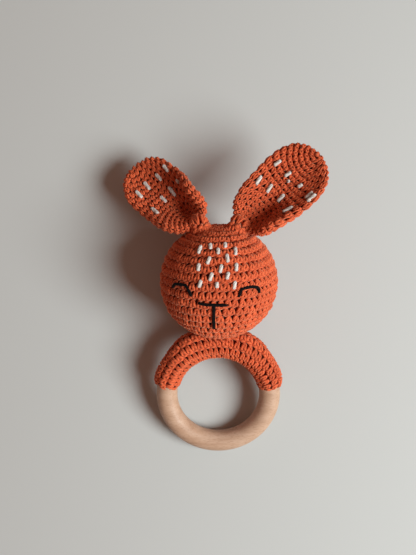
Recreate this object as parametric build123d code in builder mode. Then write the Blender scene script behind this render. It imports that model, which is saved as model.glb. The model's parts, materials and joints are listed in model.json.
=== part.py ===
from build123d import *
from math import asin, atan2, cos, degrees, hypot, radians, sin, sqrt
import os

# Baby rattle: a crocheted bunny head sewn to a crocheted sleeve on a wooden teething ring,
# with a bead capsule buried in the head's stuffing.
#
# Everything is modelled in the toy's own frame: the origin is the centre of the ring, the ring
# lies in the XY plane, +Y points to the crown of the head and +Z is the way the face looks.
# At the end the whole toy is laid on its back, as it rests on a table. Millimetres and degrees.

# Wooden teething ring
ring_outer_diameter = 65.0
ring_bar_diameter = 11.0

# Crocheted sleeve, a strip wrapped round the ring and sewn edge to edge along the back
sleeve_wall = 1.7
ring_play = 0.3
sleeve_arc = 142.0
slit_width = 1.6
seam_play = 0.1

# Head cover
head_diameter = 58.6
head_flattening = 1.0
head_rest_flat = 0.8
head_wall = 2.6
seat_depth = 1.3

# Clearances between soft pieces that lie on each other
soft_gap = 0.3
thread_gap = 0.1

# Neck seam, an oval of yarn between head and sleeve
neck_length = 21.0
neck_width = 12.5
neck_band = 2.0
neck_yarn = 1.0
head_tilt_limit = 8.0

# Rattle capsule with a snap rim, and its beads
capsule_diameter = 28.0
capsule_wall = 1.4
tongue_height = 1.8
snap_radius = 0.25
snap_play = 0.08
bead_diameter = 4.0
bead_count = 5
bead_play = 0.3

# Ears: a cupped egg-shaped blade on a pinched round root
ear_length = 52.0
ear_base_width = 26.0
ear_base_lift = 2.0
ear_wall = 5.0
ear_bend_radius = 70.0
ear_rim_fillet = 1.6
root_diameter = 6.6
root_offset = 9.0
root_forward = 1.5
root_yarn = 1.5

# The right ear stands up. The left one has flopped down and cups more tightly, so it looks
# narrower. Spread is measured from the crown line, rise from the table top and roll about the
# ear's own length.
right_ear_pose = {"side": 1, "spread": 50.5, "rise": 8.0, "roll": -10.0, "cup": 28.0, "width": 33.5}
left_ear_pose = {"side": -1, "spread": 50.5, "rise": -26.0, "roll": 8.0, "cup": 22.0, "width": 29.0}

# Embroidery. The face is drawn for one size of head, and grows and shrinks with it.
face_drawn_for = 58.6
face_thread = 1.3
thread_height = 1.1
speckle_width = 1.7

# Derived sizes
ring_bar_radius = ring_bar_diameter / 2
ring_radius = ring_outer_diameter / 2 - ring_bar_radius
sleeve_bore = ring_bar_radius + ring_play
sleeve_radius = sleeve_bore + sleeve_wall
head_round = head_diameter / 2 - head_flattening
face_scale = head_diameter / face_drawn_for
ear_base_y = ear_base_lift + ear_base_width / 2
head_y = ring_radius + sleeve_radius - seat_depth + head_round
neck_inner = sleeve_radius + soft_gap
neck_outer = neck_inner + neck_yarn
seat_radius = neck_outer + soft_gap
tilt_pivot_y = ring_radius + neck_outer
capsule_radius = capsule_diameter / 2
capsule_bore = capsule_radius - capsule_wall
bead_radius = bead_diameter / 2
root_radius = root_diameter / 2


def lean_angle():
    """Angle between the ring's plane and the table when both ring and head touch the table. The
    stuffed head gives where it lies, so its back is flat there."""
    reach = ring_radius + head_y
    rise = asin((head_round - head_rest_flat - ring_bar_radius) / hypot(reach, head_flattening))
    return degrees(rise + atan2(head_flattening, reach))


lean = lean_angle()
ring_height = ring_radius * sin(radians(lean)) + ring_bar_radius
table_normal = Vector(0, 0, 1).rotate(Axis.X, -lean)
table_plane = Plane(origin=table_normal * -ring_height, z_dir=table_normal)
head_centre = Vector(0, head_y, 0)
table_up = Vector(0, sin(radians(lean)), cos(radians(lean)))

section_plane = Plane.XZ
neck_plane = Plane(origin=(0, ring_radius, 0), x_dir=(1, 0, 0), z_dir=(0, 1, 0))
capsule_plane = Plane.XZ.offset(-head_y)
capsule_axis = Axis(head_centre, (0, 0, 1))
face_plane = Plane(origin=head_centre, x_dir=(1, 0, 0), z_dir=(0, 0, 1))


def head_section(shrink):
    """Half of the head's section in the XY plane, smaller by shrink all round. The head is a
    ball pressed a little flat: the arc of its side is centred head_flattening off the axis."""
    size = head_round - shrink
    with Locations((head_flattening, head_y)):
        Circle(size)
    with Locations((0, head_y)):
        Rectangle(size + head_flattening, 2 * size, align=(Align.MIN, Align.CENTER), mode=Mode.INTERSECT)
        Rectangle(head_flattening, 2 * size, align=(Align.MIN, Align.CENTER))


def cut_seat(clearance):
    """Hollow that lets the head sit on the sleeve and rock sideways without touching it."""
    for angle in (-head_tilt_limit, 0, head_tilt_limit):
        rocked = Location((0, tilt_pivot_y, 0), (0, 0, angle)) * Location((0, -tilt_pivot_y, 0))
        with Locations(rocked):
            Torus(ring_radius, seat_radius + clearance, mode=Mode.SUBTRACT)


# Wooden ring
with BuildPart() as wooden_ring:
    Torus(ring_radius, ring_bar_radius)

# Sleeve: a round tube along the upper arc of the ring with domed ends, bored for the ring and
# slit along the back, where the strip's edges meet
sleeve_start = 90 - sleeve_arc / 2
start_plane = section_plane.rotated((0, 0, sleeve_start))
with BuildPart() as ring_sleeve:
    with BuildSketch(start_plane):
        with Locations((ring_radius, 0)):
            Circle(sleeve_radius)
    revolve(axis=Axis.Z, revolution_arc=sleeve_arc)
    for angle, facing in ((sleeve_start, 90), (sleeve_start + sleeve_arc, -90)):
        with PolarLocations(ring_radius, 1, start_angle=angle):
            Sphere(sleeve_radius, arc_size1=0, rotation=(facing, 0, 0), align=None)
    Torus(ring_radius, sleeve_bore, mode=Mode.SUBTRACT)
    with BuildSketch(section_plane):
        with Locations((ring_radius, -sleeve_radius)):
            Rectangle(slit_width, 3 * sleeve_wall)
    revolve(axis=Axis.Z, mode=Mode.SUBTRACT)

# Seam: the lacing yarn that fills the slit
with BuildPart() as sleeve_seam:
    with BuildSketch(start_plane):
        with Locations((ring_radius, 0)):
            Circle(sleeve_radius)
            Circle(sleeve_bore, mode=Mode.SUBTRACT)
        with Locations((ring_radius, -sleeve_radius)):
            Rectangle(slit_width - 2 * seam_play, 3 * sleeve_wall, mode=Mode.INTERSECT)
    revolve(axis=Axis.Z, revolution_arc=sleeve_arc)

# Neck seam: an oval band of yarn that follows the saddle of the sleeve
with BuildPart() as neck_seam:
    with BuildSketch(neck_plane):
        Ellipse(neck_length / 2, neck_width / 2)
        Ellipse(neck_length / 2 - neck_band, neck_width / 2 - neck_band, mode=Mode.SUBTRACT)
    extrude(amount=2 * neck_outer)
    Torus(ring_radius, neck_outer, mode=Mode.INTERSECT)
    Torus(ring_radius, neck_inner, mode=Mode.SUBTRACT)

# Head cover: a crocheted shell, open at the neck
with BuildPart() as head_cover:
    with BuildSketch(Plane.XY):
        head_section(0)
        with BuildSketch(mode=Mode.SUBTRACT):
            head_section(head_wall)
    revolve(axis=Axis.Y)
    cut_seat(0)
    with BuildSketch(neck_plane):
        Ellipse(neck_length / 2 - neck_band / 2, neck_width / 2 - neck_band / 2)
    extrude(amount=neck_length / 2, mode=Mode.SUBTRACT)
    split(bisect_by=table_plane, keep=Keep.TOP)

# Stuffing: one wad in the crown and one towards the neck, pressed round the capsule
with BuildPart() as crown_stuffing:
    with BuildSketch(Plane.XY):
        head_section(head_wall + seam_play)
        with Locations((0, head_y + soft_gap / 2)):
            Rectangle(head_diameter, head_diameter, align=(Align.CENTER, Align.MIN), mode=Mode.INTERSECT)
        with Locations((0, head_y)):
            Circle(capsule_radius + soft_gap, mode=Mode.SUBTRACT)
    revolve(axis=Axis.Y)

with BuildPart() as neck_stuffing:
    with BuildSketch(Plane.XY):
        head_section(head_wall + seam_play)
        with Locations((0, head_y - soft_gap / 2)):
            Rectangle(head_diameter, head_diameter, align=(Align.CENTER, Align.MAX), mode=Mode.INTERSECT)
        with Locations((0, head_y)):
            Circle(capsule_radius + soft_gap, mode=Mode.SUBTRACT)
    revolve(axis=Axis.Y)
    cut_seat(soft_gap)

# Capsule: the front half has a tongue with a snap ridge, the back half takes it in a rebate
tongue_thickness = (capsule_wall - snap_play) / 2
ridge_place = (capsule_bore + tongue_thickness, -tongue_height / 2)

with BuildPart() as capsule_front:
    with BuildSketch(capsule_plane):
        Circle(capsule_radius)
        Circle(capsule_bore, mode=Mode.SUBTRACT)
        Rectangle(capsule_radius, capsule_radius, align=Align.MIN, mode=Mode.INTERSECT)
        with Locations((capsule_bore, -tongue_height)):
            Rectangle(tongue_thickness, tongue_height + capsule_wall / 2, align=Align.MIN)
        with Locations(ridge_place):
            Circle(snap_radius)
    revolve(axis=capsule_axis)

with BuildPart() as capsule_back:
    with BuildSketch(capsule_plane):
        Circle(capsule_radius)
        Circle(capsule_bore, mode=Mode.SUBTRACT)
        with Locations((0, -snap_play)):
            Rectangle(
                capsule_radius, capsule_radius, align=(Align.MIN, Align.MAX), mode=Mode.INTERSECT
            )
        with Locations((capsule_bore - capsule_wall, -tongue_height - snap_play)):
            Rectangle(
                capsule_wall + tongue_thickness + snap_play,
                2 * tongue_height,
                align=Align.MIN,
                mode=Mode.SUBTRACT,
            )
        with Locations(ridge_place):
            Circle(snap_radius + snap_play, mode=Mode.SUBTRACT)
    revolve(axis=capsule_axis)

# Beads: each lies at the lowest point of its own lane round the inside of the capsule
bead_orbit = capsule_bore - bead_radius - bead_play
bead_pitch = bead_diameter + bead_play
beads = []
for number in range(bead_count):
    lane = (number - (bead_count - 1) / 2) * bead_pitch
    drop = sqrt(bead_orbit**2 - lane**2)
    with BuildPart() as bead:
        with Locations(head_centre + Vector(lane, 0, 0) - table_up * drop):
            Sphere(bead_radius)
    beads.append(bead)


def root_plane(side):
    """Plane touching the head where an ear is sewn: its normal is the head's own."""
    off_axis = hypot(root_offset, root_forward)
    share = (off_axis - head_flattening) / off_axis
    x, z = side * root_offset * share, root_forward * share
    normal = Vector(x, sqrt(head_round**2 - x * x - z * z), z).normalized()
    rim = Vector(side * root_offset - x, 0, root_forward - z)
    return Plane(origin=head_centre + rim + normal * head_round, x_dir=(0, 0, 1), z_dir=normal)


def ear_plane(side, spread, rise, roll, **shape):
    """Plane of an ear: origin at the centre of its root, y along the ear, z out of its hollow."""
    along = Vector(side * sin(radians(spread)), cos(radians(spread)), 0) * cos(radians(rise))
    along = along + Vector(0, 0, sin(radians(rise)))
    face = (Vector(0, 0, 1) - along * along.Z).normalized()
    across = along.cross(face)
    face = face * cos(radians(roll)) + across * sin(radians(roll))
    along = along.rotate(Axis.X, -lean)
    face = face.rotate(Axis.X, -lean)
    root = root_plane(side)
    centre = root.origin + root.z_dir * (root_radius + soft_gap)
    return Plane(origin=centre, x_dir=along.cross(face), z_dir=face)


def keep_cupped_sheet(plane, cup, above, below):
    """Keeps only a sheet of double curvature: bent to the radius cup across the ear and to
    ear_bend_radius along it, from below to above its middle surface."""
    middle = ear_length / 2
    sag = middle**2 / (2 * ear_bend_radius)
    swing = ear_length / ear_bend_radius
    hub = plane.from_local_coords((0, middle, ear_bend_radius - sag))
    outward = plane.z_dir * -cos(swing) - plane.y_dir * sin(swing)
    start_plane = Plane(origin=hub, x_dir=plane.x_dir, z_dir=plane.x_dir.cross(outward))
    with BuildSketch(start_plane) as band:
        with Locations((0, ear_bend_radius - cup)):
            Circle(cup + below)
            Circle(cup - above, mode=Mode.SUBTRACT)
            Rectangle(
                2 * (cup + below), cup + below, align=(Align.CENTER, Align.MIN), mode=Mode.INTERSECT
            )
    bend = Axis(hub, plane.x_dir)
    revolve(band.sketch, axis=bend, revolution_arc=degrees(2 * swing), mode=Mode.INTERSECT)


def make_ear(pose):
    """An ear: an egg-shaped blade cut from a cupped sheet, on a round pinched root."""
    plane = ear_plane(**pose)
    with BuildPart() as ear:
        with BuildSketch(plane):
            with Locations((0, ear_base_y)):
                Circle(ear_base_width / 2)
            with Locations((0, ear_length - pose["width"] / 2)):
                Circle(pose["width"] / 2)
            make_hull()
        extrude(amount=ear_length / 2, both=True)
        keep_cupped_sheet(plane, pose["cup"], ear_wall / 2, ear_wall / 2)
        fillet(ear.edges(), ear_rim_fillet)
        with Locations(plane):
            Sphere(root_radius)
        with BuildSketch(Plane(plane.origin, x_dir=plane.x_dir, z_dir=plane.y_dir)):
            Ellipse(root_radius, ear_wall / 2)
        extrude(amount=ear_base_y / 2)
    return ear


left_ear = make_ear(left_ear_pose)
right_ear = make_ear(right_ear_pose)


def make_ear_seam(side):
    """A ring of sewing yarn on the head, round the root of an ear."""
    plane = root_plane(side)
    yarn_radius = root_yarn / 2
    drop = root_radius + soft_gap - yarn_radius
    ring = sqrt((root_radius + yarn_radius + soft_gap) ** 2 - drop**2)
    with BuildPart() as seam:
        with Locations(plane.offset(yarn_radius)):
            Torus(ring, yarn_radius)
    return seam


left_ear_seam = make_ear_seam(-1)
right_ear_seam = make_ear_seam(1)


def keep_thread_skin():
    """Keeps only a thin skin just clear of the head cover: the depth of an embroidery thread."""
    with BuildSketch(Plane.XY) as skin:
        head_section(-thread_gap - thread_height)
        with BuildSketch(mode=Mode.SUBTRACT):
            head_section(-thread_gap)
    revolve(skin.sketch, axis=Axis.Y, mode=Mode.INTERSECT)


# White speckles on the forehead: x and y on the face, how far each leans from upright and how
# long it is
forehead_speckles = [
    (-9.4, 21.0, -22, 4.4), (-4.3, 22.7, 0, 3.1), (2.7, 23.2, 6, 2.9), (-0.7, 20.7, 0, 3.3),
    (7.5, 20.3, 2, 3.9), (-5.2, 17.0, -25, 4.0), (3.6, 17.9, 8, 4.2), (-9.9, 14.1, -7, 4.0),
    (0.5, 13.9, -14, 4.3), (7.8, 14.2, -2, 4.2), (-4.1, 10.5, -20, 4.5), (3.7, 10.9, -14, 4.0),
    (-9.2, 7.2, -17, 4.4), (-1.3, 7.0, 0, 3.5), (6.9, 6.6, -10, 4.4),
]
with BuildPart() as forehead_stitches:
    with BuildSketch(face_plane):
        for x, y, leaning, length in forehead_speckles:
            with Locations(Location((x * face_scale, y * face_scale, 0), (0, 0, leaning))):
                SlotOverall(length, speckle_width, rotation=90)
    extrude(amount=head_diameter)
    keep_thread_skin()

# Closed eyes: arches of black thread. Each is given by its outer end, its top and its inner end.
eye_arches = {
    "left": ((-21.8, 2.8), (-18.2, 5.2), (-13.8, 1.4)),
    "right": ((9.2, 1.1), (14.2, 4.8), (19.3, 0.9)),
}


def make_eye(arch):
    with BuildPart() as eye:
        with BuildLine(Plane.XY, mode=Mode.PRIVATE) as path:
            ThreePointArc(*[Vector(*point) * face_scale for point in arch])
        with BuildSketch(face_plane):
            SlotArc(path.wire(), face_thread)
        extrude(amount=head_diameter)
        keep_thread_skin()
    return eye


left_eye_thread = make_eye(eye_arches["left"])
right_eye_thread = make_eye(eye_arches["right"])

# Nose bar across the face, and the mouth line that hangs from its middle
nose_left, nose_right = (-10.8, -2.2), (3.9, -2.6)
mouth_top, mouth_bottom = (-2.6, -2.7 - face_thread - thread_gap), (-2.2, -16.4)


def make_straight_thread(start, end):
    with BuildPart() as thread:
        with BuildSketch(face_plane):
            first, last = Vector(*start) * face_scale, Vector(*end) * face_scale
            SlotCenterPoint((first + last) * 0.5, last, face_thread)
        extrude(amount=head_diameter)
        keep_thread_skin()
    return thread


nose_thread = make_straight_thread(nose_left, nose_right)
mouth_thread = make_straight_thread(mouth_top, mouth_bottom)

# White speckles in the hollow of each ear: across the ear, along it, how far each leans and how
# long it is
left_speckles = [
    (-7.7, 37.4, -6, 6.0), (-1.5, 37.8, -11, 6.0), (5.7, 35.9, -6, 5.5), (11.2, 34.6, -9, 5.3),
    (-9.5, 23.8, -6, 6.6), (-1.3, 26.2, -3, 5.4), (5.0, 26.0, -7, 6.0), (11.0, 23.5, -9, 3.4),
]
right_speckles = [
    (-9.5, 33.3, -8, 5.1), (-2.0, 33.9, -11, 4.6), (0.6, 30.6, -3, 2.6), (6.2, 34.0, -14, 3.6),
    (12.1, 34.4, 2, 5.6), (14.0, 34.4, 2, 6.0), (-9.5, 20.8, 10, 5.7), (-3.1, 22.1, 12, 5.6),
    (4.2, 23.2, -1, 5.6), (11.2, 22.5, -7, 6.0),
]


def make_ear_stitches(pose, speckles):
    """Short flat stitches that lie on the hollow face of an ear."""
    plane = ear_plane(**pose)
    face = ear_wall / 2 + thread_gap
    with BuildPart() as stitches:
        with BuildSketch(plane):
            for x, y, leaning, length in speckles:
                with Locations(Location((x, y, 0), (0, 0, leaning))):
                    SlotOverall(length, speckle_width, rotation=90)
        extrude(amount=ear_length / 2, both=True)
        keep_cupped_sheet(plane, pose["cup"], face + thread_height, -face)
    return stitches


left_ear_stitches = make_ear_stitches(left_ear_pose, left_speckles)
right_ear_stitches = make_ear_stitches(right_ear_pose, right_speckles)

pieces = {
    "wooden_ring": wooden_ring,
    "ring_sleeve": ring_sleeve,
    "sleeve_seam": sleeve_seam,
    "neck_seam": neck_seam,
    "head_cover": head_cover,
    "crown_stuffing": crown_stuffing,
    "neck_stuffing": neck_stuffing,
    "capsule_front": capsule_front,
    "capsule_back": capsule_back,
    "left_ear": left_ear,
    "right_ear": right_ear,
    "left_ear_seam": left_ear_seam,
    "right_ear_seam": right_ear_seam,
    "forehead_stitches": forehead_stitches,
    "left_ear_stitches": left_ear_stitches,
    "right_ear_stitches": right_ear_stitches,
    "left_eye_thread": left_eye_thread,
    "right_eye_thread": right_eye_thread,
    "nose_thread": nose_thread,
    "mouth_thread": mouth_thread,
}
for number, bead in enumerate(beads, start=1):
    pieces[f"bead_{number}"] = bead

# Lay the toy on its back: ring edge and back of the head on the table, centred over the origin
laid_down = Location((0, 0, ring_height), (lean, 0, 0))
for name in pieces.values():
    name.part.move(laid_down)
extent = Compound([name.part for name in pieces.values()]).bounding_box()
centred = Location((-extent.center().X, -extent.center().Y, -extent.min.Z))

os.makedirs("parts", exist_ok=True)
for label, name in pieces.items():
    name.part.move(centred)
    name.part.label = label
    export_step(name.part, f"parts/{label}.step")

print("lean of the ring on the table", round(lean, 3))
print("ring centre", centred * laid_down * Location((0, 0, 0)))
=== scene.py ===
import json
import math
import random

import bmesh
import bpy
from mathutils import Matrix, Vector
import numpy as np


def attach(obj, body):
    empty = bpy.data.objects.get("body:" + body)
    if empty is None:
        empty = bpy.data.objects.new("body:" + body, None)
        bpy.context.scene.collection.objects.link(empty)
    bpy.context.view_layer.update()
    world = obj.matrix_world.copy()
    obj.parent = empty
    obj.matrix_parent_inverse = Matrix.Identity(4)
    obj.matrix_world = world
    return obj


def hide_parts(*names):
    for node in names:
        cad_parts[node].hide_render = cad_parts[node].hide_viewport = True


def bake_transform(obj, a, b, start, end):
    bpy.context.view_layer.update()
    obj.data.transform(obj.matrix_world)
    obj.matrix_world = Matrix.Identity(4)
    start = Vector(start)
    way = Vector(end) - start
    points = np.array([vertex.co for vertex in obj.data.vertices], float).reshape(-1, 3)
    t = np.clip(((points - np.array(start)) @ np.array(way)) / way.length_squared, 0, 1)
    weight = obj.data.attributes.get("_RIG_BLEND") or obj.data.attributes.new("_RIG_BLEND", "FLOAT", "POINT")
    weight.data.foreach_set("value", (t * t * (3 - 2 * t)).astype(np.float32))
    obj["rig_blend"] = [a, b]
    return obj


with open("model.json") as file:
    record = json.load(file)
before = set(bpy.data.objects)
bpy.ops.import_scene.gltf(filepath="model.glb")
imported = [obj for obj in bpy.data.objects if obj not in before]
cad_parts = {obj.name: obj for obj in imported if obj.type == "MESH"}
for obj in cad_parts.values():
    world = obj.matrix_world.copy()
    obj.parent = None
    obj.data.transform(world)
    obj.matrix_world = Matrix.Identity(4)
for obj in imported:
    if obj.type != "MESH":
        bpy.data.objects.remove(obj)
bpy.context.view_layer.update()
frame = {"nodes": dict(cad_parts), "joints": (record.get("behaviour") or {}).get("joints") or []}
joints = {joint["name"]: joint for joint in frame["joints"]}


# ---------------------------------------------------------------------------
# Wooden teething ring: a beech hoop turned on a lathe, sanded and left bare.
# It turns inside its crocheted sleeve.
# ---------------------------------------------------------------------------
ring_centre = Vector(joints["ring_turn"]["pos_m"])
ring_axis = Vector(joints["ring_turn"]["axis"]).normalized()
side_axis = Vector(joints["head_nod"]["axis"]).normalized()
crown_axis = ring_axis.cross(side_axis)

GRAIN_TURN = (0.26, 0.05, 0.3)
GROWTH_SCALE = (35, 300, 300)
PORE_SCALE = (450, 2400, 2400)
PATCH_SCALE = 45.0
PORE_DEPTH = 0.00006
BEECH_DARK = (0.45, 0.275, 0.180)
BEECH = (0.51, 0.325, 0.220)
BEECH_LIGHT = (0.57, 0.385, 0.275)
PORE_TINT = (0.72, 0.62, 0.55)
PATCH_TINT = (0.94, 0.90, 0.86)
UNTINTED = (1.0, 1.0, 1.0)


def own_frame(origin, across, along, out):
    """The matrix from a piece's own axes to the scene's."""
    return Matrix.Translation(origin) @ Matrix((across, along, out)).transposed().to_4x4()


# The toy's own frame: origin at the ring's centre, x to the side, y to the crown, z to the face
toy = own_frame(ring_centre, side_axis, crown_axis, ring_axis)


def new_material(name):
    """An empty node material and its Principled shader."""
    material = bpy.data.materials.new(name)
    material.use_nodes = True
    nodes = material.node_tree.nodes
    nodes.clear()
    output = nodes.new("ShaderNodeOutputMaterial")
    shader = nodes.new("ShaderNodeBsdfPrincipled")
    material.node_tree.links.new(shader.outputs["BSDF"], output.inputs["Surface"])
    return material, material.node_tree, shader


def plug(tree, socket, value):
    """Links a socket to another socket, or sets its value."""
    if isinstance(value, bpy.types.NodeSocket):
        tree.links.new(value, socket)
    else:
        socket.default_value = value


def add_node(tree, kind, inputs=None, **settings):
    """A node with its settings made and its inputs plugged by name or by number."""
    node = tree.nodes.new(kind)
    for name, value in settings.items():
        setattr(node, name, value)
    for name, value in (inputs or {}).items():
        plug(tree, node.inputs[name], value)
    return node


def colour_ramp(tree, factor, *stops):
    """A colour ramp with the given (place, colour) stops."""
    ramp = add_node(tree, "ShaderNodeValToRGB", {"Fac": factor})
    elements = ramp.color_ramp.elements
    while len(elements) < len(stops):
        elements.new(0.5)
    for element, (place, colour) in zip(elements, stops):
        element.position = place
        element.color = (*colour, 1)
    return ramp.outputs["Color"]


def mix_colours(tree, factor, first, second, blend="MIX"):
    """Two colours mixed, or the second multiplied over the first."""
    node = add_node(tree, "ShaderNodeMix", data_type="RGBA", blend_type=blend)
    for number, value in ((0, factor), (6, first), (7, second)):
        plug(tree, node.inputs[number], value)
    return node.outputs[2]


def noise(tree, vector, scale, detail=2.0, roughness=0.5, distortion=0.0):
    """Cloudy noise from 0 to 1 at the given place."""
    return add_node(tree, "ShaderNodeTexNoise", {
        "Vector": vector, "Scale": scale, "Detail": detail, "Roughness": roughness,
        "Distortion": distortion,
    }).outputs["Fac"]


def calculate(tree, operation, *values):
    """The result of one maths operation."""
    node = add_node(tree, "ShaderNodeMath", operation=operation)
    for number, value in enumerate(values):
        plug(tree, node.inputs[number], value)
    return node.outputs["Value"]


def own_place(tree):
    """The place on the piece, in its own coordinates."""
    return add_node(tree, "ShaderNodeTexCoord").outputs["Object"]


def remap(tree, value, low=0.0, high=1.0, to_low=0.0, to_high=1.0, curve="LINEAR"):
    """A value taken from one range to another."""
    return add_node(tree, "ShaderNodeMapRange", {
        "Value": value, "From Min": low, "From Max": high, "To Min": to_low, "To Max": to_high,
    }, interpolation_type=curve).outputs["Result"]


def add_relief(tree, normal, height, strength, depth):
    """Plugs a normal with the relief of a height pattern."""
    bump = add_node(tree, "ShaderNodeBump", {"Height": height, "Strength": strength, "Distance": depth})
    plug(tree, normal, bump.outputs["Normal"])


def make_beech():
    """Pale beech: straight growth rings through the board, short dark pores, satin from sanding."""
    material, tree, shader = new_material("beech")
    place = own_place(tree)
    board, pore_lines = (
        add_node(tree, "ShaderNodeMapping", {"Vector": place, "Scale": scale, "Rotation": GRAIN_TURN})
        for scale in (GROWTH_SCALE, PORE_SCALE)
    )
    growth = noise(tree, board.outputs["Vector"], 1.0, detail=3.0, roughness=0.55, distortion=0.4)
    pores = noise(tree, pore_lines.outputs["Vector"], 1.0)
    patches = noise(tree, place, PATCH_SCALE)
    wood = colour_ramp(tree, growth, (0.30, BEECH_DARK), (0.50, BEECH), (0.72, BEECH_LIGHT))
    flecks = colour_ramp(tree, pores, (0.34, PORE_TINT), (0.46, UNTINTED))
    warmth = colour_ramp(tree, patches, (0.35, PATCH_TINT), (0.65, UNTINTED))
    wood = mix_colours(tree, 0.6, wood, flecks, "MULTIPLY")
    plug(tree, shader.inputs["Base Color"], mix_colours(tree, 1.0, wood, warmth, "MULTIPLY"))
    plug(tree, shader.inputs["Roughness"], remap(tree, pores, 0.3, 0.6, 0.66, 0.52))
    add_relief(tree, shader.inputs["Normal"], pores, 0.25, PORE_DEPTH)
    return material


def set_finish(node, material):
    """Gives a CAD node's mesh its material."""
    data = frame["nodes"][node].data
    data.materials.clear()
    data.materials.append(material)


set_finish("wooden_ring", make_beech())


# ---------------------------------------------------------------------------
# Sleeve: a strip of single crochet in burnt-orange cotton, worked to and fro along the ring's
# bar, wrapped round it and laced edge to edge along the back. Its ends draw in to the wood.
# ---------------------------------------------------------------------------
RING_RADIUS = 0.027
SLEEVE_RADIUS = 0.0075
SLEEVE_BORE = 0.00575
SLEEVE_END_RADIUS = 0.0062
SLEEVE_STRAIGHT = RING_RADIUS * math.radians(71)
SLEEVE_LENGTH = 2 * (SLEEVE_STRAIGHT + SLEEVE_RADIUS * math.acos(SLEEVE_END_RADIUS / SLEEVE_RADIUS))
SLEEVE_INNER_PULL = 0.0015
# The sleeve swells into a shoulder either side of the head. Its place and spread are shares of
# the straight stretch.
SHOULDER_HEIGHT = 0.0023
SHOULDER_PLACE = 0.40
SHOULDER_SPREAD = 0.24
# The first row starts this angle before the slit along the back
SLEEVE_FIRST_ROW = -0.14
SLEEVE_ROWS = 10
SLEEVE_COLUMNS = 27
STAGGER = 0.5
SLEEVE_YARN_RADIUS = 0.00092


def follow(points, share):
    """A point on the smooth curve through the given points; share runs from 0 to 1."""
    spans = len(points) - 1
    place = min(max(share, 0.0), 1.0) * spans
    span = min(int(place), spans - 1)
    t = place - span
    before, start, end, after = (
        Vector(points[min(max(span + step, 0), spans)]) for step in (-1, 0, 1, 2)
    )
    return 0.5 * (
        2 * start + (end - before) * t + (2 * before - 5 * start + 4 * end - after) * t**2
        + (3 * start - before - 3 * end + after) * t**3
    )


def heading(points, share):
    """The direction of that curve."""
    step = 0.02
    return (follow(points, share + step) - follow(points, share - step)).normalized()


def straight_tube(sides, cuts):
    """A capped tube of radius 1 from z = 0 to z = 1, with rings of vertices for a bend."""
    tube = bmesh.new()
    bmesh.ops.create_cone(
        tube, cap_ends=True, segments=sides, radius1=1, radius2=1, depth=1,
        matrix=Matrix.Translation((0, 0, 0.5)),
    )
    lengthwise = [edge for edge in tube.edges if abs(edge.verts[0].co.z - edge.verts[1].co.z) > 0.5]
    bmesh.ops.subdivide_edges(tube, edges=lengthwise, cuts=cuts)
    return tube


def add_strand(mesh, points, radius, sides, cuts, taper=0.0, squash=1.0, up=Vector((0, 0, 1))):
    """Adds a length of yarn along a smooth curve: a capped tube, bent to it. Its UV runs along
    the yarn in yarn widths, and round it from 0 to 1. taper thins both ends; squash flattens it."""
    strand = straight_tube(sides, cuts)
    length = sum((Vector(b) - Vector(a)).length for a, b in zip(points, points[1:]))
    uv = strand.loops.layers.uv.new("UVMap")
    for face in strand.faces:
        middle = face.calc_center_median()
        turn = math.atan2(middle.y, middle.x)
        for loop in face.loops:
            x, y, share = loop.vert.co
            off = math.remainder(math.atan2(y, x) - turn, math.tau) if len(face.verts) == 4 else 0
            loop[uv].uv = (share * length / (2 * radius), (turn + off) / math.tau)
    for vert in strand.verts:
        x, y, share = vert.co
        along = heading(points, share)
        across = along.cross(up)
        across = across.normalized() if across.length > 1e-6 else Vector((1, 0, 0))
        outward = across.cross(along)
        width = radius * (1 - taper * (2 * share - 1) ** 4)
        vert.co = follow(points, share) + (across * x + outward * y * squash) * width
    passing = bpy.data.meshes.new("strand")
    strand.to_mesh(passing)
    strand.free()
    mesh.from_mesh(passing)
    bpy.data.meshes.remove(passing)


def new_threadwork():
    """An empty mesh with the layers that the yarn's finish reads."""
    mesh = bmesh.new()
    mesh.loops.layers.uv.new("UVMap")
    mesh.verts.layers.float.new("tone")
    return mesh


STITCH_WIDTH = 0.0034
STITCH_HEIGHT = 0.0041
LEG_SIDES = 6
LEG_CUTS = 3
LEG_TAPER = 0.25
LOOP_YARN = 0.85


def make_stitch(name, leg, loop, yarn):
    """One single crochet in stitch widths, row heights and metres of depth: two legs that make
    a V, and the thinner loop of yarn that lies across behind the next row."""
    stitch = new_threadwork()
    size = Vector((STITCH_WIDTH, STITCH_HEIGHT, 1))
    for side in (-1, 1):
        points = [Vector((side * x, y, z)) * size for x, y, z in leg]
        add_strand(stitch, points, yarn, LEG_SIDES, LEG_CUTS, LEG_TAPER)
    points = [Vector(point) * size for point in loop]
    add_strand(stitch, points, yarn * LOOP_YARN, LEG_SIDES - 1, LEG_CUTS - 1)
    for vert in stitch.verts:
        vert.co = (vert.co.x / STITCH_WIDTH, vert.co.y / STITCH_HEIGHT, vert.co.z)
    bmesh.ops.recalc_face_normals(stitch, faces=stitch.faces)
    mesh = bpy.data.meshes.new(name)
    stitch.to_mesh(mesh)
    stitch.free()
    return mesh


def finish_piece(name, mesh, material, body=None, replaced=()):
    """A bmesh made into an object that sits at the origin, with its finish, its body and the
    nodes that it stands for. A mesh that was bent inside out has a volume below nothing, and is
    turned back."""
    if mesh.calc_volume(signed=True) < 0:
        bmesh.ops.reverse_faces(mesh, faces=mesh.faces)
    data = bpy.data.meshes.new(name)
    mesh.to_mesh(data)
    mesh.free()
    piece = bpy.data.objects.new(name, data)
    bpy.context.scene.collection.objects.link(piece)
    data.materials.append(material)
    data.polygons.foreach_set("use_smooth", [True] * len(data.polygons))
    if body:
        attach(piece, body)
    if replaced:
        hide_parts(*replaced)
    return piece


UNEVENNESS = 0.065
UNEVEN_SHIFT = 0.7
UNEVEN_DEPTH = 0.0016


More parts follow.
